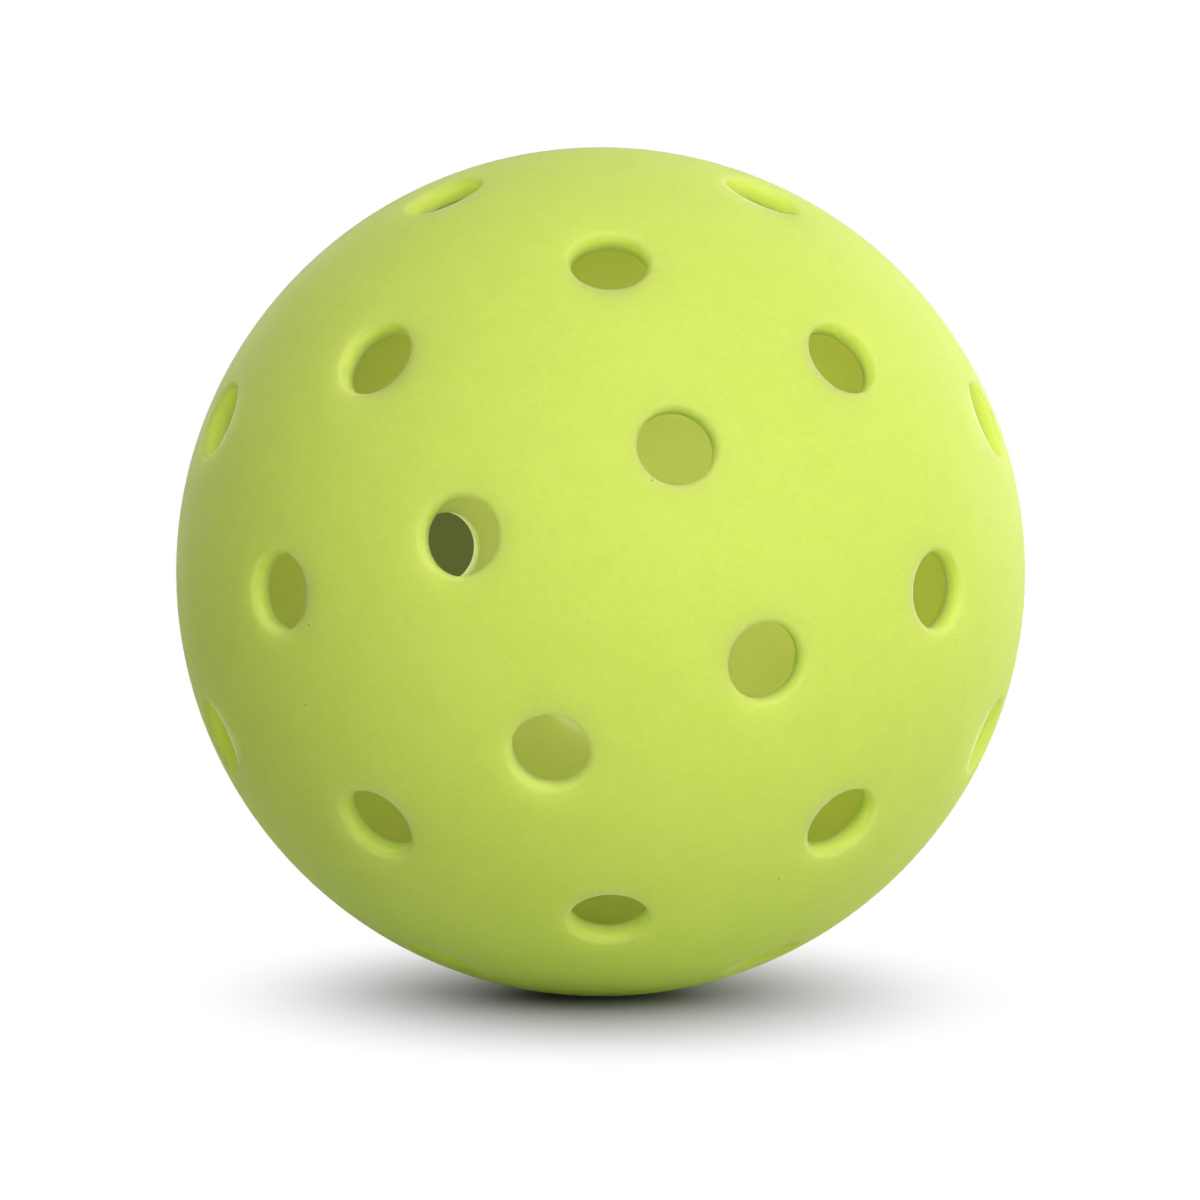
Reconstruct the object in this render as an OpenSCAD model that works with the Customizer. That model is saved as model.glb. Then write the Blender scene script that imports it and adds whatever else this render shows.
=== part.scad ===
// Pickleball: a hollow perforated ball, moulded as two half shells that are lapped and welded at the seam.
// Millimetres. The origin is the centre of the ball, +Z is up and the axis of the hole pattern lies along Y.
// The seam lies in the XZ plane. The front half is on the -Y side and the rear half on the +Y side.

/* [Ball] */
// Outside diameter of the ball
ball_d = 74; // [66:0.5:84]
// Thickness of the moulded wall
wall = 1.85; // [1.6:0.05:2.6]

/* [Holes] */
// Diameter of the straight bore of a hole
hole_d = 6.6; // [4.5:0.1:8]
// Radius of the rounded lip at the mouth of a hole
lip_r = 0.5; // [0.3:0.05:1.1]
// How far the lip's round stands proud of the ball, so that it ends in a fine edge
lip_edge = 0.02; // [0.01:0.005:0.04]
// Angle between the pole and the first ring of holes
ring_1_polar = 22; // [18:0.5:26]
// Angle between the pole and the second ring of holes
ring_2_polar = 49; // [44:0.5:54]
// Angle between the pole and the third ring of holes
ring_3_polar = 76; // [70:0.5:78]
// Number of holes in the first ring
ring_1_count = 4; // [3:1:5]
// Number of holes in the second ring
ring_2_count = 8; // [6:1:10]
// Number of holes in the third ring
ring_3_count = 8; // [6:1:12]
// Direction of a hole of the first ring, turned from +X towards +Z
ring_1_start = 67.5; // [0:0.5:90]
// Direction of a hole of the second ring, turned from +X towards +Z
ring_2_start = 0; // [0:0.5:45]
// Direction of a hole of the third ring, turned from +X towards +Z
ring_3_start = 22.5; // [0:0.5:45]
// Turn of the rear half's pattern against the front half's
rear_turn = 22.5; // [0:0.5:45]

/* [Seam] */
// Thickness of the spigot on the front half's rim
spigot_t = 0.9; // [0.7:0.05:1.1]
// Length of the spigot
spigot_l = 1.2; // [0.8:0.05:2.5]
// Clearance round the spigot and at its end
spigot_gap = 0.05; // [0.02:0.01:0.1]
// Width of the fine V line round the outside of the seam
seam_line_w = 0.5; // [0.2:0.05:1]
// Depth of the fine V line
seam_line_d = 0.15; // [0.05:0.01:0.25]

/* [Weld] */
// Width of the weld bead, which fills its trap from side to side
bead_w = 2; // [1.2:0.1:3]
// Height of the bead's crown above the inside of the wall
bead_rise = 0.5; // [0.2:0.05:0.9]
// Depth of the trap for the bead in the inside of the wall
trap_d = 0.35; // [0.2:0.05:0.5]
// Clearance behind the bead in its trap
bead_gap = 0.05; // [0.02:0.01:0.1]

/* [Hidden] */
$fn = 144;

shell_colour = "#cfe56a";
weld_colour = "#c3da5c";

ball_r = ball_d / 2;
inner_r = ball_r - wall;
hole_r = hole_d / 2;
full_turn = 360;
pole_to_front = [90, 0, 0];
pole_to_rear = [-90, 0, 0];

// Centre of the lip's round, out from the hole's axis and up from the centre of the ball
lip_x = hole_r + lip_r;
lip_z = sqrt(pow(ball_r - lip_r + lip_edge, 2) - pow(lip_x, 2));

// A hole is cut from inside the wall to outside the ball
cut_from = inner_r - wall;
cut_to = ball_r + wall;

// The rings of a half: angle from the pole, number of holes and direction of one hole
rings = [
    [ring_1_polar, ring_1_count, ring_1_start],
    [ring_2_polar, ring_2_count, ring_2_start],
    [ring_3_polar, ring_3_count, ring_3_start]
];

// The revolved wall starts and ends on a line between the holes of the second and third rings
wall_start = (ring_2_start + ring_3_start) / 2;

spigot_r = inner_r + spigot_t;
socket_r = spigot_r + spigot_gap;
socket_l = spigot_l + spigot_gap;
trap_r = inner_r + trap_d;

// Arc of the bead's crown through both edges of the trap's mouth and the top of the crown
crown_r = (pow(bead_w / 2, 2) + pow(bead_rise, 2)) / (2 * bead_rise);
crown_x = inner_r - bead_rise + crown_r;

// Each half is drawn with its pole up and its rim at height 0. Its section lies to the right of the axis.

module quarter_disc() {
    intersection() {
        circle(r = ball_r);
        square(ball_r);
    }
}

// Half of the V line, cut into the outer edge of a rim
module seam_line_section() {
    polygon([
        [ball_r - seam_line_d, 0],
        [ball_r + seam_line_d, 0],
        [ball_r + seam_line_d, seam_line_w]
    ]);
}

// One side of the bead's trap, between two heights
module trap_section(z_from, z_to) {
    translate([0, z_from])
        square([trap_r, z_to - z_from]);
}

// The wall of the front half, with the spigot below its rim
module front_section() {
    difference() {
        union() {
            quarter_disc();
            translate([0, -spigot_l])
                square([spigot_r, spigot_l]);
        }
        circle(r = inner_r);
        seam_line_section();
        trap_section(-spigot_l, bead_w / 2 - spigot_l);
    }
}

// The wall of the rear half, with the socket in its rim
module rear_section() {
    difference() {
        quarter_disc();
        circle(r = inner_r);
        square([socket_r, socket_l]);
        seam_line_section();
        trap_section(0, spigot_l + bead_w / 2);
    }
}

// What a hole takes out of the wall: the straight bore, and the mouth that opens round the lip
module hole_section() {
    translate([0, cut_from])
        square([hole_r, cut_to - cut_from]);
    difference() {
        translate([0, lip_z])
            square([lip_x, cut_to - lip_z]);
        translate([lip_x, lip_z])
            circle(r = lip_r);
    }
}

// Every hole of a half, each with its axis through the centre of the ball
module hole_pattern() {
    for (ring = rings)
        for (i = [0 : ring[1] - 1])
            rotate([0, ring[0], ring[2] + i * full_turn / ring[1]])
                rotate_extrude()
                    hole_section();
}

// A wall section turned about the pole and pierced by the hole pattern
module half_shell() {
    difference() {
        rotate([0, 0, wall_start])
            rotate_extrude()
                children();
        hole_pattern();
    }
}

module front_half_shell() {
    color(shell_colour)
        rotate(pole_to_front)
            half_shell()
                front_section();
}

module rear_half_shell() {
    color(shell_colour)
        rotate(pole_to_rear)
            rotate([0, 0, rear_turn])
                half_shell()
                    rear_section();
}

// A flat-sided ring in the trap, with a crown towards the inside of the ball
module bead_section() {
    intersection() {
        translate([crown_x, 0])
            circle(r = crown_r);
        translate([inner_r - bead_rise, -bead_w / 2])
            square([bead_rise + trap_d - bead_gap, bead_w]);
    }
}

module weld_bead() {
    color(weld_colour)
        rotate(pole_to_rear)
            translate([0, 0, spigot_l])
                rotate_extrude()
                    bead_section();
}

front_half_shell();
rear_half_shell();
weld_bead();
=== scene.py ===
"""Looks of the perforated ball: two smooth half shells and the weld ring that joins them, in a white studio.

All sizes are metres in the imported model's frame. The origin is the centre of the ball, +Z is up, and the axis
of the hole pattern lies along Y with the front half on the -Y side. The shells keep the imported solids' sizes
and are worked out as surfaces, so that the skin and the lips of the holes shade without facets.
"""

from __future__ import annotations

import logging
import math
from dataclasses import dataclass
from enum import Enum
from typing import Any, Sequence, Union

import bpy
import numpy as np
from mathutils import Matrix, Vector

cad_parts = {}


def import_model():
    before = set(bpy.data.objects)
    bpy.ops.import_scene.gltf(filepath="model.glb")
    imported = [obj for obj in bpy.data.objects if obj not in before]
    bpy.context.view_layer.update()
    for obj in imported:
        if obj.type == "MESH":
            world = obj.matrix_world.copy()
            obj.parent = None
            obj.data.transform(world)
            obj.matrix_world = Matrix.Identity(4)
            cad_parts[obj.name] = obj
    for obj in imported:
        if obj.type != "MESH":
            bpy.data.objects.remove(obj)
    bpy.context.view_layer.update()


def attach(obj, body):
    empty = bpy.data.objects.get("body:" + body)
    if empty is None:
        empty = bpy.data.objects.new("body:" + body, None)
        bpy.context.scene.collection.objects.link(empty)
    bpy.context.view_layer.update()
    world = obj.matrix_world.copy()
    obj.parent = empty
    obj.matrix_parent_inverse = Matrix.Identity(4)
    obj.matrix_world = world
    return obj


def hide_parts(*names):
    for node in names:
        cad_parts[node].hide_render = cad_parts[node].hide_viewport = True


MM = 0.001
BODY = "root"
IMAGE_SIDE = 1200
SAME_POINT = 1e-7
NEARLY_NOTHING = 1e-6
FULL_TURN = 2 * math.pi
SHARP_ANGLE = math.radians(35)
NOISE_MIDDLE = 0.5
MIRRORED_AT_RIM = np.array([1.0, 1.0, -1.0])
WHITE = (1.0, 1.0, 1.0, 1.0)
BLACK = (0.0, 0.0, 0.0, 1.0)

LOG = logging.getLogger("ball")

Colour = tuple[float, float, float, float]
Span = tuple[float, float]
Socket = bpy.types.NodeSocket


def unit(vectors: np.ndarray) -> np.ndarray:
    """Vectors divided by their own lengths."""
    return vectors / np.linalg.norm(vectors, axis=-1, keepdims=True)


def direction(azimuth: float, elevation: float) -> Vector:
    """Unit vector away from the ball: sine and cosine of both angles, as on a globe.

    Args:
        azimuth: degrees from the front towards +X.
        elevation: degrees up.

    Returns:
        The vector.
    """
    lean, height = math.radians(azimuth), math.radians(elevation)
    flat = math.cos(height)
    return Vector((math.sin(lean) * flat, -math.cos(lean) * flat, math.sin(height)))


class Value:
    """A number in a shader. Arithmetic on it adds Math nodes to its graph."""

    def __init__(self, graph: ShaderGraph, socket: Socket) -> None:
        """Wraps a socket of a graph."""
        self.graph = graph
        self.socket = socket

    def math(self, operation: str, *others: Operand, clamp: bool = False) -> Value:
        """A Math node on this value.

        Args:
            operation: the Math node's operation.
            others: its second and third operands.
            clamp: whether the result is held between 0 and 1.

        Returns:
            The node's result.
        """
        inputs = dict(enumerate((self, *others)))
        node = self.graph.node("ShaderNodeMath", {"operation": operation, "use_clamp": clamp}, inputs)
        return Value(self.graph, node.outputs[0])

    def reflected(self, operation: str, other: float) -> Value:
        """A Math node with a plain number first and this value second."""
        inputs = {0: other, 1: self}
        node = self.graph.node("ShaderNodeMath", {"operation": operation}, inputs)
        return Value(self.graph, node.outputs[0])

    def __add__(self, other: Operand) -> Value:
        """This value plus another."""
        return self.math("ADD", other)

    def __radd__(self, other: float) -> Value:
        """A number plus this value."""
        return self.reflected("ADD", other)

    def __sub__(self, other: Operand) -> Value:
        """This value less another."""
        return self.math("SUBTRACT", other)

    def __rsub__(self, other: float) -> Value:
        """A number less this value."""
        return self.reflected("SUBTRACT", other)

    def __mul__(self, other: Operand) -> Value:
        """This value times another."""
        return self.math("MULTIPLY", other)

    def __rmul__(self, other: float) -> Value:
        """A number times this value."""
        return self.reflected("MULTIPLY", other)

    def __truediv__(self, other: Operand) -> Value:
        """This value over another."""
        return self.math("DIVIDE", other)

    def larger(self, other: Operand) -> Value:
        """The larger of this value and another."""
        return self.math("MAXIMUM", other)

    def above(self, limit: float) -> Value:
        """1 where this value lies above a limit, and 0 elsewhere."""
        return self.math("GREATER_THAN", limit)

    def rise(self, low: float, high: float) -> Value:
        """A soft step.

        Args:
            low: where the step starts to leave 0.
            high: where it reaches 1. A high end below the low end gives a falling step.

        Returns:
            The eased share of the way from low to high.
        """
        inputs = {"Value": self, "From Min": low, "From Max": high}
        node = self.graph.node("ShaderNodeMapRange", {"interpolation_type": "SMOOTHSTEP"}, inputs)
        return Value(self.graph, node.outputs[0])


Operand = Union[Value, float]
Input = Union[Value, Socket, float, Sequence[float]]


class ShaderGraph:
    """The nodes of one material or world, made by one method."""

    def __init__(self, tree: bpy.types.NodeTree) -> None:
        """Takes over a node tree and empties it."""
        tree.nodes.clear()
        self.tree = tree

    def node(
        self,
        kind: str,
        settings: dict[str, Any] | None = None,
        inputs: dict[int | str, Input] | None = None,
    ) -> bpy.types.Node:
        """Adds a node.

        Args:
            kind: the node's Blender type.
            settings: its own settings, set before its sockets.
            inputs: a value or a link for each named or numbered socket.

        Returns:
            The node.
        """
        node = self.tree.nodes.new(kind)
        for name, setting in (settings or {}).items():
            setattr(node, name, setting)
        for name, given in (inputs or {}).items():
            given = given.socket if isinstance(given, Value) else given
            if isinstance(given, Socket):
                self.tree.links.new(given, node.inputs[name])
            else:
                node.inputs[name].default_value = given
        return node

    def value(self, node: bpy.types.Node, output: int | str = 0) -> Value:
        """A node's output as a number for shader maths."""
        return Value(self, node.outputs[output])

    def mix(self, factor: Operand, start: Input, end: Input) -> Socket:
        """A colour between two colours, by a factor from 0 to 1."""
        node = self.node("ShaderNodeMix", {"data_type": "RGBA"}, {0: factor, 6: start, 7: end})
        return node.outputs[2]

    def place(self) -> Socket:
        """Object coordinates, in metres."""
        return self.node("ShaderNodeTexCoord").outputs["Object"]

    def noise(self, place: Socket, pitch: float, detail: float = 2.0, distortion: float = 0.0) -> Value:
        """Smooth noise.

        Args:
            place: the coordinates it is read at.
            pitch: size of its blobs in metres.
            detail: number of finer layers.
            distortion: how far the blobs are stirred.

        Returns:
            A number about its middle.
        """
        inputs = {"Vector": place, "Scale": 1 / pitch, "Detail": detail, "Distortion": distortion}
        return self.value(self.node("ShaderNodeTexNoise", None, inputs))

    def layered(self, place: Socket, layers: Sequence[NoiseLayer]) -> Value:
        """The sum of several noises, each times its share."""
        total, *others = [layer.share * self.noise(place, layer.pitch, layer.detail) for layer in layers]
        for other in others:
            total = total + other
        return total

    def length(self, vector: Input) -> Value:
        """The length of a vector."""
        return self.value(self.node("ShaderNodeVectorMath", {"operation": "LENGTH"}, {0: vector}), "Value")

    def scaled(self, vector: Socket, factors: Sequence[float]) -> Socket:
        """A vector times one factor for each axis."""
        settings, inputs = {"operation": "MULTIPLY"}, {0: vector, 1: factors}
        return self.node("ShaderNodeVectorMath", settings, inputs).outputs[0]


@dataclass(frozen=True)
class Patch:
    """A grid of points, rows by columns. Its columns close into a ring, and its rows too where it says so."""

    points: np.ndarray
    rows_close: bool = False

    def quads(self, first: int) -> np.ndarray:
        """Corner numbers of the grid's faces.

        Args:
            first: the number of the grid's first point.

        Returns:
            An array of four corners a face. Faces point outwards where columns run anticlockwise and rows
            inwards.
        """
        rows, columns = self.points.shape[:2]
        numbers = first + np.arange(rows * columns).reshape(rows, columns)
        below = np.roll(numbers, -1, 0)
        faces = np.stack([numbers, np.roll(numbers, -1, 1), np.roll(below, -1, 1), below], -1)
        return (faces if self.rows_close else faces[:-1]).reshape(-1, 4)


def piece_from(name: str, patches: Sequence[Patch]) -> bpy.types.Object:
    """Joins patches into one mesh object. Edges that turn by more than a sharp angle stay crisp.

    Args:
        name: the piece's name.
        patches: grids whose borders share their points.

    Returns:
        The object, at the origin, with its place in its mesh.
    """
    points = np.concatenate([patch.points.reshape(-1, 3) for patch in patches])
    firsts = np.cumsum([0] + [patch.points.shape[0] * patch.points.shape[1] for patch in patches[:-1]])
    quads = np.concatenate([patch.quads(int(first)) for patch, first in zip(patches, firsts)])
    _, kept, joined = np.unique(
        np.round(points / SAME_POINT).astype(np.int64), axis=0, return_index=True, return_inverse=True
    )
    mesh = bpy.data.meshes.new(name)
    mesh.from_pydata(points[kept].tolist(), [], joined.reshape(-1)[quads].tolist())
    mesh.shade_smooth()
    mesh.set_sharp_from_angle(angle=SHARP_ANGLE)
    piece = bpy.data.objects.new(name, mesh)
    bpy.context.scene.collection.objects.link(piece)
    return piece


@dataclass(frozen=True)
class BallSizes:
    """Sizes that both halves and the weld ring share."""

    outer_r: float = 37.0 * MM
    wall: float = 1.85 * MM
    bore_r: float = 3.3 * MM
    lip_r: float = 0.5 * MM
    inner_edge_r: float = 0.15 * MM
    spigot_t: float = 0.9 * MM
    spigot_l: float = 1.2 * MM
    spigot_gap: float = 0.05 * MM
    seam_line_w: float = 0.5 * MM
    seam_line_d: float = 0.15 * MM
    bead_w: float = 2.0 * MM
    bead_rise: float = 0.5 * MM
    trap_d: float = 0.35 * MM
    bead_gap: float = 0.05 * MM

    @property
    def inner_r(self) -> float:
        """Radius of the inside of the wall."""
        return self.outer_r - self.wall

    @property
    def trap_r(self) -> float:
        """Radius of the bottom of the weld ring's trap."""
        return self.inner_r + self.trap_d


@dataclass(frozen=True)
class HoleRing:
    """A ring of equal holes round the pole of a half, in degrees."""

    polar: float
    count: int
    start: float

    def axes(self, turn: float) -> np.ndarray:
        """Unit vectors along the holes: leant from the pole by the polar angle, and stepped evenly round it.

        Args:
            turn: turn of the whole pattern about the pole.

        Returns:
            One vector a hole.
        """
        lean = math.radians(self.polar)
        round_pole = np.radians(self.start + turn + 360 / self.count * np.arange(self.count))
        leant = np.full(self.count, math.cos(lean))
        away = math.sin(lean)
        return np.stack([away * np.cos(round_pole), away * np.sin(round_pole), leant], -1)


class Half(Enum):
    """The two halves of the ball."""

    FRONT = "front"
    REAR = "rear"

    def placed(self, points: np.ndarray) -> np.ndarray:
        """Turns points about X from the half's frame, pole up and rim at height 0, into the ball's frame."""
        x, y, z = np.moveaxis(points, -1, 0)
        return np.stack([x, -z, y] if self is Half.FRONT else [x, z, -y], -1)


def cell_corners(axis: np.ndarray, neighbours: np.ndarray) -> np.ndarray:
    """Corners of the part of the sphere that lies nearer to one hole than to any other.

    Each neighbour gives the plane halfway to it. Two planes cross in a line through the centre of the ball,
    and that line meets the sphere in a corner where it lies on the near side of every other plane.

    Args:
        axis: unit vector along the hole.
        neighbours: unit vectors along the others.

    Returns:
        Unit vectors, anticlockwise round the hole.
    """
    planes = axis - neighbours
    one, other = np.triu_indices(len(planes), 1)
    lines = np.cross(planes[one], planes[other])
    lines = unit(lines[np.linalg.norm(lines, axis=1) > NEARLY_NOTHING])
    lines = lines[np.abs(lines @ axis) > NEARLY_NOTHING]
    lines *= np.sign(lines @ axis)[:, None]
    corners = lines[(lines @ planes.T > -NEARLY_NOTHING).all(1)]
    east = unit(np.cross(axis, neighbours[0]))
    north = np.cross(axis, east)
    corners = corners[np.argsort(np.arctan2(corners @ north, corners @ east))]
    apart = np.linalg.norm(corners - np.roll(corners, 1, 0), axis=1) > NEARLY_NOTHING
    return corners[apart]


def arc(start: np.ndarray, end: np.ndarray, step: float) -> np.ndarray:
    """Evenly spaced unit vectors along a great circle, without its end.

    Each is the sum of both ends, weighted by the sines of their shares of the angle.

    Args:
        start: unit vector at the start.
        end: unit vector at the end.
        step: largest angle between two points.

    Returns:
        The points. An arc that is walked the other way gives the same ones.
    """
    angle = math.acos(float(np.clip(start @ end, -1, 1)))
    count = max(1, math.ceil(angle / step))
    share = np.arange(count)[:, None] / count
    return (np.sin((1 - share) * angle) * start + np.sin(share * angle) * end) / math.sin(angle)


@dataclass(frozen=True)
class ShellSteps:
    """How finely a shell's surface is divided."""

    border: float = 0.62 * MM
    skin: int = 7
    lip: int = 12
    bore: int = 3
    inner_edge: int = 4
    inside: int = 5


@dataclass(frozen=True)
class HalfShell:
    """A moulded half of the ball: every hole with its share of the wall, and the rim at the seam."""

    half: Half
    turn: float
    sizes: BallSizes
    rings: tuple[HoleRing, ...]
    steps: ShellSteps = ShellSteps()

    def rim_profile(self) -> np.ndarray:
        """The rim's section, from the outer skin over the V line and the lap joint to the inside of the wall.

        The V line's flank meets the skin where its distance and height, squared and added, give the square of
        the ball's radius.

        Returns:
            Distances from the pole's axis and heights above the seam, a row a corner.
        """
        s = self.sizes
        foot = s.outer_r - s.seam_line_d
        slope = 2 * s.seam_line_d / s.seam_line_w
        short_by = s.outer_r**2 - foot**2
        top = (math.sqrt((foot * slope) ** 2 + (slope**2 + 1) * short_by) - foot * slope) / (slope**2 + 1)
        spigot_r = s.inner_r + s.spigot_t
        if self.half is Half.FRONT:
            lap_r, lap_z, inside_z = spigot_r, -s.spigot_l, s.bead_w / 2 - s.spigot_l
        else:
            lap_r, lap_z = spigot_r + s.spigot_gap, s.spigot_l + s.spigot_gap
            inside_z = s.bead_w / 2 + s.spigot_l
        return np.array(
            [
                [foot + slope * top, top],
                [foot, 0],
                [lap_r, 0],
                [lap_r, lap_z],
                [s.trap_r, lap_z],
                [s.trap_r, inside_z],
                [math.sqrt(s.inner_r**2 - inside_z**2), inside_z],
            ]
        )

    def on_rim(self, border: np.ndarray, corner: np.ndarray) -> np.ndarray:
        """Moves the points of a cell's border that lie at the seam to a corner of the rim's section.

        Args:
            border: unit vectors round a cell.
            corner: distance from the pole's axis and height.

        Returns:
            Unit vectors, with the points at the seam at that corner's height.
        """
        distance, height = corner / np.linalg.norm(corner)
        flat = border[:, :2]
        flat = flat / np.maximum(np.linalg.norm(flat, axis=1, keepdims=True), NEARLY_NOTHING)
        moved = np.column_stack([flat * distance, np.full(len(border), height)])
        return np.where(np.abs(border[:, 2:]) < NEARLY_NOTHING, moved, border)

    def hole_cell(self, axis: np.ndarray, border: np.ndarray, profile: np.ndarray) -> Patch:
        """One hole and its share of the wall, as a section carried round the hole's axis.

        A section point is its distance from the axis times a direction across it, plus its height along it.
        From the cell's border the section runs over the outer sphere (sine and cosine of the angle from the
        axis, times the ball's radius), round the lip, whose circle touches the sphere and the bore, down the
        bore, round the small inner edge, and over the inner sphere back to the border.

        Args:
            axis: unit vector along the hole.
            border: unit vectors round the cell.
            profile: the rim's section.

        Returns:
            The grid, a row a section point and a column a border point.
        """
        s, n = self.sizes, self.steps
        outer, inner = self.on_rim(border, profile[0]), self.on_rim(border, profile[-1])
        across_out = unit(outer - (outer @ axis)[:, None] * axis)
        across_in = unit(inner - (inner @ axis)[:, None] * axis)
        reach_out, reach_in = np.arccos(outer @ axis), np.arccos(inner @ axis)

        lip_x, lip_reach = s.bore_r + s.lip_r, s.outer_r - s.lip_r
        edge_x, edge_reach = s.bore_r + s.inner_edge_r, s.inner_r + s.inner_edge_r
        lip_z, edge_z = math.sqrt(lip_reach**2 - lip_x**2), math.sqrt(edge_reach**2 - edge_x**2)
        lip_angle, edge_angle = math.asin(lip_x / lip_reach), math.asin(edge_x / edge_reach)

        share = np.linspace(0, 1, n.skin + 1)[:, None]
        skin = reach_out * (1 - share) + lip_angle * share
        turn = np.linspace(lip_angle, -math.pi / 2, n.lip + 1)[1:, None]
        down = np.linspace(lip_z, edge_z, n.bore + 1)[1:, None]
        back = np.linspace(-math.pi / 2, edge_angle - math.pi, n.inner_edge + 1)[1:, None]
        out = np.linspace(0, 1, n.inside + 1)[1:, None]
        inside = edge_angle * (1 - out) + reach_in * out

        columns = np.ones(len(border))
        distance = np.concatenate(
            [
                s.outer_r * np.sin(skin),
                (lip_x + s.lip_r * np.sin(turn)) * columns,
                np.full_like(down, s.bore_r) * columns,
                (edge_x + s.inner_edge_r * np.sin(back)) * columns,
                s.inner_r * np.sin(inside),
            ]
        )
        height = np.concatenate(
            [
                s.outer_r * np.cos(skin),
                (lip_z + s.lip_r * np.cos(turn)) * columns,
                down * columns,
                (edge_z + s.inner_edge_r * np.cos(back)) * columns,
                s.inner_r * np.cos(inside),
            ]
        )
        lean = np.concatenate([np.zeros(len(distance) - n.inside), out[:, 0]])[:, None, None]
        across = unit(across_out * (1 - lean) + across_in * lean)
        return Patch(height[..., None] * axis + distance[..., None] * across)

    def rim(self, borders: Sequence[np.ndarray], profile: np.ndarray) -> Patch:
        """The rim: its section carried round the pole, in the directions of the borders' points at the seam.

        Args:
            borders: unit vectors round each cell.
            profile: the rim's section.

        Returns:
            The grid, a row a corner of the section.
        """
        border = np.concatenate(borders)
        seam = border[np.abs(border[:, 2]) < NEARLY_NOTHING]
        angles = np.arctan2(seam[:, 1], seam[:, 0])
        angles = np.sort(angles)[::-1]
        angles = angles[np.abs(angles - np.roll(angles, 1)) > NEARLY_NOTHING]
        distance, height = profile[:, :1], profile[:, 1:]
        parts = (distance * np.cos(angles), distance * np.sin(angles), height)
        return Patch(np.stack(np.broadcast_arrays(*parts), -1))

    def build(self) -> bpy.types.Object:
        """Makes the shell's mesh from one patch a hole and the rim, and lets it stand for its CAD node.

        Returns:
            The piece.
        """
        axes = np.concatenate([ring.axes(self.turn) for ring in self.rings])
        mirrored = axes * MIRRORED_AT_RIM
        step = self.steps.border / self.sizes.outer_r
        borders = []
        for number, axis in enumerate(axes):
            corners = cell_corners(axis, np.vstack([np.delete(axes, number, 0), mirrored]))
            ends = np.roll(corners, -1, 0)
            borders.append(np.concatenate([arc(start, end, step) for start, end in zip(corners, ends)]))
        profile = self.rim_profile()
        patches = [self.hole_cell(axis, border, profile) for axis, border in zip(axes, borders)]
        patches.append(self.rim(borders, profile))
        placed = [Patch(self.half.placed(patch.points)) for patch in patches]
        piece = piece_from(f"{self.half.value}_shell", placed)
        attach(piece, BODY)
        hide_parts(f"{self.half.value}_half_shell")
        return piece

    def dress(self, piece: bpy.types.Object, material: bpy.types.Material) -> None:
        """Gives the shell its plastic."""
        piece.data.materials.append(material)


@dataclass(frozen=True)
class WeldRing:
    """The ring of remelted plastic in the trap on the inside of the seam."""

    sizes: BallSizes
    columns: int = 360
    crown_rows: int = 12
    ripples: int = 64
    ripple_depth: float = 0.06 * MM
    drift: float = 2.0
    drift_waves: int = 3

    def build(self) -> bpy.types.Object:
        """Carries the bead's section round the pole.

        The section is the arc through both edges of the trap's mouth and the top of the crown, closed by a
        flat bottom. A cosine round the pole, strongest at the crown, gives the crown its slow ripples, and a
        slower sine inside it makes them uneven.

        Returns:
            The piece.
        """
        s = self.sizes
        crown_r = ((s.bead_w / 2) ** 2 + s.bead_rise**2) / (2 * s.bead_rise)
        crown_x = s.inner_r - s.bead_rise + crown_r
        half_angle = math.asin(s.bead_w / 2 / crown_r)
        along = np.linspace(-half_angle, half_angle, self.crown_rows + 1)[:, None]
        round_pole = -np.linspace(0, FULL_TURN, self.columns, endpoint=False)
        swell = self.ripple_depth * np.cos(along / half_angle * math.pi / 2)
        uneven = self.drift * np.sin(self.drift_waves * round_pole)
        wave = 0.5 + 0.5 * np.cos(self.ripples * round_pole + uneven)
        crown = crown_x - crown_r * np.cos(along) + swell * wave
        height = np.broadcast_to(s.spigot_l + crown_r * np.sin(along), crown.shape)
        bottom = np.full((1, self.columns), s.trap_r - s.bead_gap)
        distance = np.concatenate([crown, bottom, bottom])
        height = np.concatenate([height, height[-1:], height[:1]])
        points = np.stack([distance * np.cos(round_pole), distance * np.sin(round_pole), height], -1)
        piece = piece_from("weld_ring", [Patch(Half.REAR.placed(points), rows_close=True)])
        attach(piece, BODY)
        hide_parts("weld_bead")
        return piece

    def dress(self, piece: bpy.types.Object, material: bpy.types.Material) -> None:
        """Gives the ring its plastic."""
        piece.data.materials.append(material)


@dataclass(frozen=True)
class NoiseLayer:
    """One layer of a sum of noises: the size of its blobs, its share and the number of its finer layers."""

    pitch: float
    share: float
    detail: float


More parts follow.
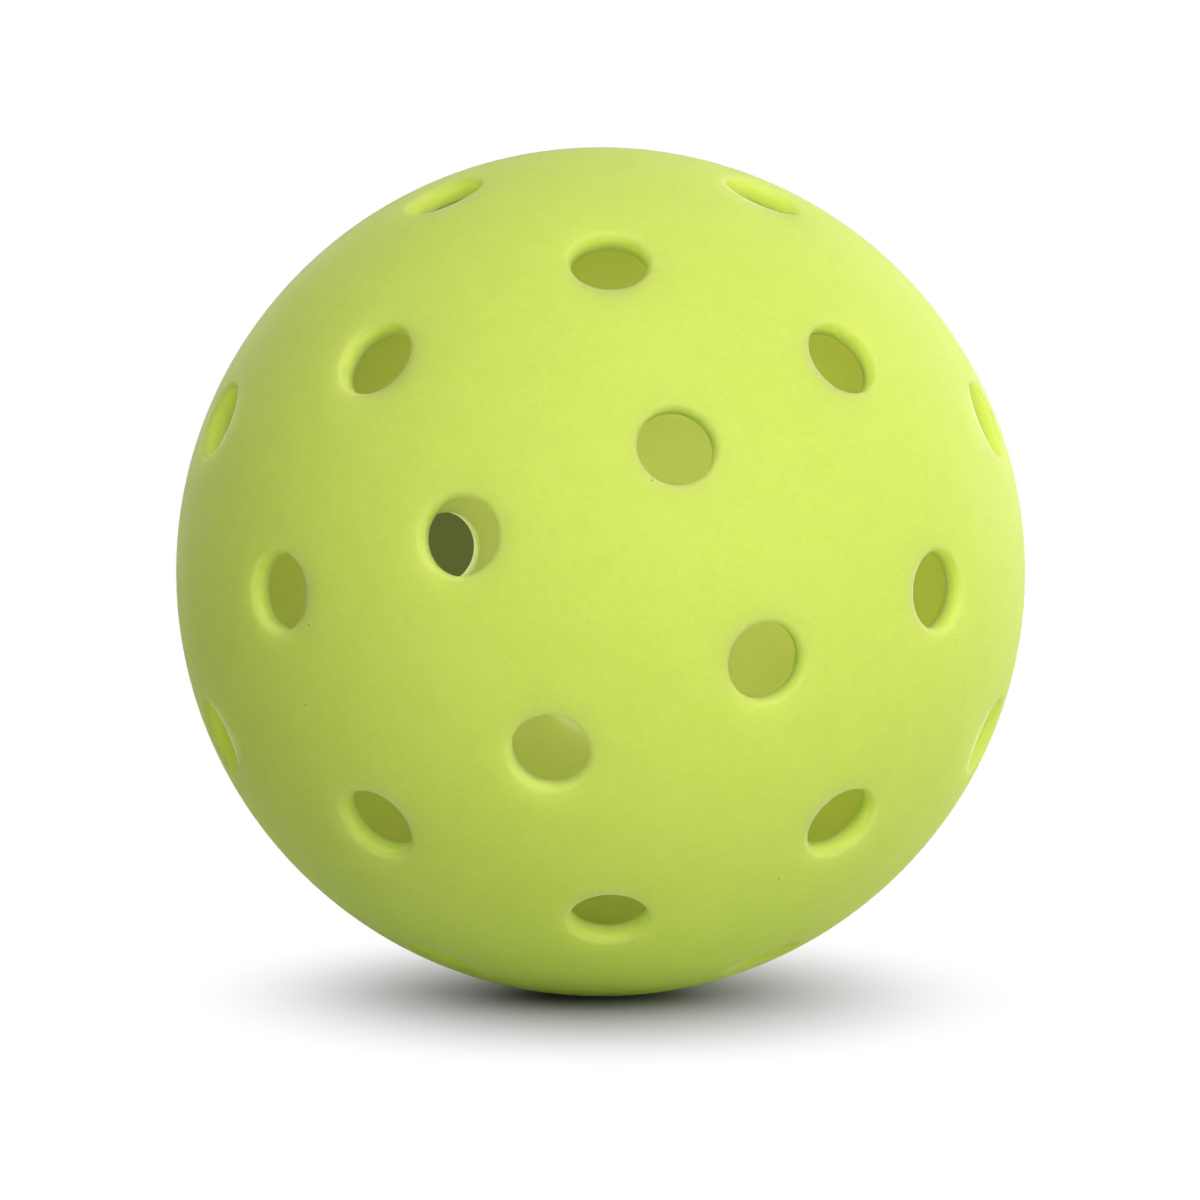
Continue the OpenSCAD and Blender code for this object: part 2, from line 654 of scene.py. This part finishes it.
@dataclass(frozen=True)
class PlasticDetail:
    """Fine detail of the moulded plastic. Depths are shares of the wall, from the skin inwards."""

    clouds: tuple[NoiseLayer, ...] = (
        NoiseLayer(13.0 * MM, 0.4, 3.0),
        NoiseLayer(3.2 * MM, 0.24, 3.0),
        NoiseLayer(0.6 * MM, 0.36, 2.0),
    )
    cloud_fade: Span = (0.37, 0.64)
    # depths where the painted light of the cut edge and of the inside of the wall comes in, and where the
    # painted glow ends
    edge_depth: Span = (0.1, 0.4)
    inside_depth: Span = (0.93, 1.0)
    glow_end: Span = (1.0, 0.95)
    speck_pitch: float = 4.8 * MM
    speck_fade: Span = (0.03, 0.018)
    speck_pick: float = 0.64
    speck_strength: float = 0.6
    scuff_pitch: float = 17.0 * MM
    scuff_stretch: tuple[float, float, float] = (1.0, 1.0, 1.9)
    scuff_detail: float = 1.5
    scuff_stir: float = 1.2
    scuff_width: Span = (0.0035, 0.0008)
    scuff_patch_pitch: float = 6.0 * MM
    scuff_patch_detail: float = 1.0
    scuff_patch_fade: Span = (0.56, 0.68)
    scuff_dent: float = 0.7
    scuff_dullness: float = 0.1
    dullness_pitch: float = 5.0 * MM
    dullness_change: float = 0.12
    grain: tuple[NoiseLayer, ...] = (NoiseLayer(0.32 * MM, 1.0, 2.0), NoiseLayer(1.3 * MM, 0.6, 2.0))
    grain_height: float = 0.04 * MM


@dataclass(frozen=True)
class MouldedPlastic:
    """Matt, slightly translucent polyethylene: cloudy colour, fine grain, a few specks and hair scuffs, with
    painted light on the cut edges and the inside of the wall.
    """

    name: str
    colour: Colour
    cloud: Colour
    # painted light: a paler colour for the cut edge of a hole, standing in for light that passes through the
    # wall
    edge_painted_light: Colour
    # painted light: a paler colour for the inside of the wall, standing in for light that fills the ball
    inside: Colour
    # painted glow: an emission colour on the cut edge, standing in for light that travels inside the wall
    painted_edge_glow: Colour
    speck: Colour
    roughness: float
    grain: float
    sizes: BallSizes
    detail: PlasticDetail = PlasticDetail()
    translucence: float = 1.0
    light_reach: float = 10.0 * MM
    reach_by_colour: tuple[float, float, float] = (0.97, 1.0, 0.75)
    ior: float = 1.5
    gloss: float = 0.1

    def specks(self, graph: ShaderGraph, place: Socket) -> Value:
        """1 at the middles of the few cells of a Voronoi pattern whose random number is high."""
        d = self.detail
        inputs = {"Vector": place, "Scale": 1 / d.speck_pitch, "Randomness": 1.0}
        cells = graph.node("ShaderNodeTexVoronoi", {"feature": "F1", "distance": "EUCLIDEAN"}, inputs)
        pick = graph.value(graph.node("ShaderNodeSeparateColor", None, {0: cells.outputs["Color"]}), 0)
        return graph.value(cells, "Distance").rise(*d.speck_fade) * pick.above(d.speck_pick)

    def scuffs(self, graph: ShaderGraph, place: Socket) -> Value:
        """1 on thin bands where a stirred, stretched noise passes its middle, in a few patches only."""
        d = self.detail
        stretched = graph.scaled(place, d.scuff_stretch)
        stirred = graph.noise(stretched, d.scuff_pitch, d.scuff_detail, d.scuff_stir)
        band = (stirred - NOISE_MIDDLE).math("ABSOLUTE").rise(*d.scuff_width)
        return band * graph.noise(place, d.scuff_patch_pitch, d.scuff_patch_detail).rise(*d.scuff_patch_fade)

    def material(self) -> bpy.types.Material:
        """Builds the node material.

        The distance from the centre of the ball tells the skin from the cut edge of a hole and from the
        inside of the wall. A sum of noises clouds the colour. The cut edge and the inside of the wall get paler
        colours, and the cut edge gets a faint glow: painted light, which stands in for light that travels
        inside the wall and fills the ball.

        Returns:
            The material.
        """
        material = bpy.data.materials.new(self.name)
        material.use_nodes = True
        material.cycles.emission_sampling = "NONE"
        graph = ShaderGraph(material.node_tree)
        place = graph.place()
        s, d = self.sizes, self.detail

        depth = (s.outer_r - graph.length(place)) / s.wall
        # mask of the cut edge, where painted light is put
        edge_light_mask = depth.rise(*d.edge_depth)
        scuff = self.scuffs(graph, place)
        tone = graph.mix(graph.layered(place, d.clouds).rise(*d.cloud_fade), self.colour, self.cloud)
        # painted light: the cut edge takes its paler colour
        tone = graph.mix(edge_light_mask, tone, self.edge_painted_light)
        # painted light: the inside of the wall takes its paler colour
        tone = graph.mix(depth.rise(*d.inside_depth), tone, self.inside)
        tone = graph.mix(self.specks(graph, place) * d.speck_strength, tone, self.speck)
        # painted glow on the cut edge, fading out towards the inside of the wall
        glow = graph.mix(edge_light_mask * depth.rise(*d.glow_end), BLACK, self.painted_edge_glow)

        uneven = graph.noise(place, d.dullness_pitch) - NOISE_MIDDLE
        roughness = self.roughness + d.dullness_change * uneven + d.scuff_dullness * scuff
        height = graph.layered(place, d.grain) - d.scuff_dent * scuff
        relief = {"Strength": self.grain, "Distance": d.grain_height, "Height": height}
        bump = graph.node("ShaderNodeBump", None, relief)
        shader = graph.node(
            "ShaderNodeBsdfPrincipled",
            {"subsurface_method": "RANDOM_WALK"},
            {
                "Base Color": tone,
                "Roughness": roughness,
                "Emission Color": glow,
                "Emission Strength": 1.0,
                "Normal": bump.outputs[0],
                "IOR": self.ior,
                "Specular IOR Level": self.gloss,
                "Subsurface Weight": self.translucence,
                "Subsurface Radius": self.reach_by_colour,
                "Subsurface Scale": self.light_reach,
            },
        )
        graph.node("ShaderNodeOutputMaterial", None, {"Surface": shader.outputs[0]})
        return material


@dataclass(frozen=True)
class SoftBox:
    """A square studio lamp that faces the ball."""

    name: str
    azimuth: float
    elevation: float
    watts: float
    width: float = 0.7
    distance: float = 0.8

    def build(self) -> None:
        """Adds the lamp, at its azimuth from the front towards +X and its elevation, in degrees."""
        away = direction(self.azimuth, self.elevation)
        lamp = bpy.data.lights.new(self.name, "AREA")
        lamp.shape = "SQUARE"
        lamp.size = self.width
        lamp.energy = self.watts
        holder = bpy.data.objects.new(self.name, lamp)
        holder.location = away * self.distance
        holder.rotation_euler = away.to_track_quat("Z", "Y").to_euler()
        holder.visible_camera = False
        bpy.context.scene.collection.objects.link(holder)


@dataclass(frozen=True)
class Studio:
    """The white room: floor with a painted shadow tone, air inside the ball that marks sight lines for painted
    shade, lamps and world.
    """

    sizes: BallSizes
    lamps: tuple[SoftBox, ...]
    ambient: float
    floor_r: float = 1.5
    floor_rings: tuple[float, ...] = (1.0, 0.4, 0.1, 0.04, 0.02, 0.0005)
    floor_columns: int = 96
    air_rows: int = 25
    air_columns: int = 48
    air_pole: float = 0.001
    floor_grey: float = 0.6
    # painted shadow: the floor's darker colour near the ball, on top of the ball's real shadow
    painted_shadow_tone: Colour = (0.33, 0.305, 0.365, 1.0)
    shadow_reach: tuple[float, float] = (33.0 * MM, 46.0 * MM)
    shadow_fade: tuple[float, float] = (0.15, 1.12)
    # painted shade: the dark colour that sight lines through the ball see on the floor and in the world
    painted_far_shade: Colour = (0.10, 0.12, 0.028, 1.0)

    def sight(self, graph: ShaderGraph) -> tuple[Value, Value]:
        """What kind of line of sight meets a surface.

        Args:
            graph: the graph that asks.

        Returns:
            1 for a sight line of the camera, a mirror or glass, and 1 for one that has come through the ball,
            which the floor and world paint with shade.
        """
        path = graph.node("ShaderNodeLightPath")
        straight = graph.value(path, "Is Camera Ray")
        mirrored, glass = graph.value(path, "Is Glossy Ray"), graph.value(path, "Is Transmission Ray")
        seen = straight.larger(mirrored).larger(glass)
        return seen, straight * graph.value(path, "Transparent Depth").above(0.5)

    def floor(self) -> None:
        """A round white floor, as rings about the ball, that keeps the ball's shadow near the ball and darkens
        it there with a painted shadow tone; sight lines through the ball see painted shade.
        """
        rings = np.array(self.floor_rings)[:, None] * self.floor_r
        turn = np.linspace(0, FULL_TURN, self.floor_columns, endpoint=False)
        level = np.full((len(rings), len(turn)), -self.sizes.outer_r)
        points = np.stack([rings * np.cos(turn), rings * np.sin(turn), level], -1)
        floor = piece_from("floor", [Patch(points)])
        material = bpy.data.materials.new("white_floor")
        material.use_nodes = True
        graph = ShaderGraph(material.node_tree)
        seen, through = self.sight(graph)
        place = graph.scaled(graph.place(), (1 / self.shadow_reach[0], 1 / self.shadow_reach[1], 0.0))
        clear = graph.length(place).rise(*self.shadow_fade)
        pale = (self.floor_grey,) * 3 + (1.0,)
        # painted shadow: near the ball, the floor that the camera sees takes the darker shadow tone
        paper = graph.node("ShaderNodeBsdfDiffuse", None, {"Color": graph.mix(seen, pale, self.painted_shadow_tone)})
        # painted shade for a sight line that has come through the ball
        glow = graph.node("ShaderNodeEmission", None, {"Color": graph.mix(through, WHITE, self.painted_far_shade)})
        share = seen * clear.larger(through)
        shader = graph.node("ShaderNodeMixShader", None, {0: share, 1: paper.outputs[0], 2: glow.outputs[0]})
        graph.node("ShaderNodeOutputMaterial", None, {"Surface": shader.outputs[0]})
        floor.data.materials.append(material)

    def air(self) -> None:
        """A sphere of clear air in the ball, by which the floor and world know a sight line through the ball
        and paint it with shade.
        """
        lean = np.linspace(self.air_pole, math.pi - self.air_pole, self.air_rows)[:, None]
        turn = -np.linspace(0, FULL_TURN, self.air_columns, endpoint=False)
        reach = self.sizes.inner_r - 2 * self.sizes.bead_rise
        parts = (np.sin(lean) * np.cos(turn), np.sin(lean) * np.sin(turn), np.cos(lean))
        air = piece_from("air", [Patch(reach * np.stack(np.broadcast_arrays(*parts), -1))])
        material = bpy.data.materials.new("painted_shade_marker")
        material.use_nodes = True
        graph = ShaderGraph(material.node_tree)
        clear = graph.node("ShaderNodeBsdfTransparent", None, {"Color": WHITE})
        graph.node("ShaderNodeOutputMaterial", None, {"Surface": clear.outputs[0]})
        air.data.materials.append(material)

    def world(self) -> None:
        """White to look at, painted shade for sight lines through the ball, and a dim even light on the ball.
        """
        world = bpy.data.worlds.new("white_room")
        world.use_nodes = True
        bpy.context.scene.world = world
        graph = ShaderGraph(world.node_tree)
        seen, through = self.sight(graph)
        dim = (self.ambient,) * 3 + (1.0,)
        # painted shade for sight lines that have come through the ball
        colour = graph.mix(through, graph.mix(seen, dim, WHITE), self.painted_far_shade)
        back = graph.node("ShaderNodeBackground", None, {"Color": colour, "Strength": 1.0})
        graph.node("ShaderNodeOutputWorld", None, {"Surface": back.outputs[0]})

    def build(self) -> None:
        """Sets up the room and its lamps."""
        self.floor()
        self.air()
        self.world()
        for lamp in self.lamps:
            lamp.build()


@dataclass(frozen=True)
class PhotoCamera:
    """The photograph's view: the camera's place, its lens, and the pixel of the ball's centre."""

    distance: float = 666.0 * MM
    azimuth: float = -1.73
    elevation: float = 3.84
    lens: float = 228.9
    sensor: float = 36.0
    near: float = 10.0 * MM
    centre_px: tuple[float, float] = (600.6, 571.8)

    def build(self) -> None:
        """Adds the camera, aimed at the ball's centre, with the shift that puts the centre at its pixel."""
        data = bpy.data.cameras.new("photo_camera")
        data.sensor_width = self.sensor
        data.lens = self.lens
        data.shift_x = 0.5 - self.centre_px[0] / IMAGE_SIDE
        data.shift_y = self.centre_px[1] / IMAGE_SIDE - 0.5
        data.clip_start = self.near
        away = direction(self.azimuth, self.elevation)
        camera = bpy.data.objects.new("photo_camera", data)
        camera.location = away * self.distance
        camera.rotation_euler = away.to_track_quat("Z", "Y").to_euler()
        bpy.context.scene.collection.objects.link(camera)
        bpy.context.scene.camera = camera


RINGS = (HoleRing(22.0, 4, 67.5), HoleRing(49.0, 8, 0.0), HoleRing(76.0, 8, 22.5))
REAR_TURN = 22.5

AMBIENT = 0.03
NARROW = 0.5
LAMPS = (
    SoftBox("front", 10.0, 15.0, 4.0),
    SoftBox("front_high", 20.0, 35.0, 3.3),
    SoftBox("key_right", 45.0, 20.0, 1.3),
    SoftBox("high_left", -20.0, 50.0, 1.15),
    SoftBox("back_right", 133.0, 6.0, 4.9, NARROW),
    SoftBox("back_high", 175.0, 50.0, 0.95, NARROW),
    SoftBox("back_left", -152.0, 6.0, 3.0, NARROW),
)


def main() -> None:
    """Builds the ball, the studio and the camera."""
    logging.basicConfig(level=logging.INFO, format="%(name)s: %(message)s")
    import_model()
    bpy.context.scene.view_settings.view_transform = "Standard"

    sizes = BallSizes()
    plastic = MouldedPlastic(
        name="yellow_green_plastic",
        colour=(0.56, 0.795, 0.104, 1.0),
        cloud=(0.59, 0.825, 0.114, 1.0),
        # the edge and inside colours and the edge glow are painted light
        edge_painted_light=(0.61, 0.86, 0.11, 1.0),
        inside=(0.70, 0.86, 0.17, 1.0),
        painted_edge_glow=(0.06, 0.085, 0.007, 1.0),
        speck=(0.20, 0.22, 0.05, 1.0),
        roughness=0.72,
        grain=0.75,
        sizes=sizes,
    ).material()
    remelt = MouldedPlastic(
        name="remelted_plastic",
        colour=(0.56, 0.71, 0.11, 1.0),
        cloud=(0.60, 0.75, 0.125, 1.0),
        # the edge and inside colours, a little paler, are painted light
        edge_painted_light=(0.58, 0.73, 0.12, 1.0),
        inside=(0.58, 0.73, 0.12, 1.0),
        painted_edge_glow=BLACK,
        speck=(0.20, 0.22, 0.05, 1.0),
        roughness=0.36,
        grain=0.1,
        sizes=sizes,
    ).material()

    for half, turn in ((Half.FRONT, 0.0), (Half.REAR, REAR_TURN)):
        shell = HalfShell(half, turn, sizes, RINGS)
        piece = shell.build()
        shell.dress(piece, plastic)
        LOG.info("%s: %d faces", piece.name, len(piece.data.polygons))
    ring = WeldRing(sizes)
    piece = ring.build()
    ring.dress(piece, remelt)
    LOG.info("%s: %d faces", piece.name, len(piece.data.polygons))

    Studio(sizes, LAMPS, AMBIENT).build()
    PhotoCamera().build()


if __name__ == "__main__":
    main()
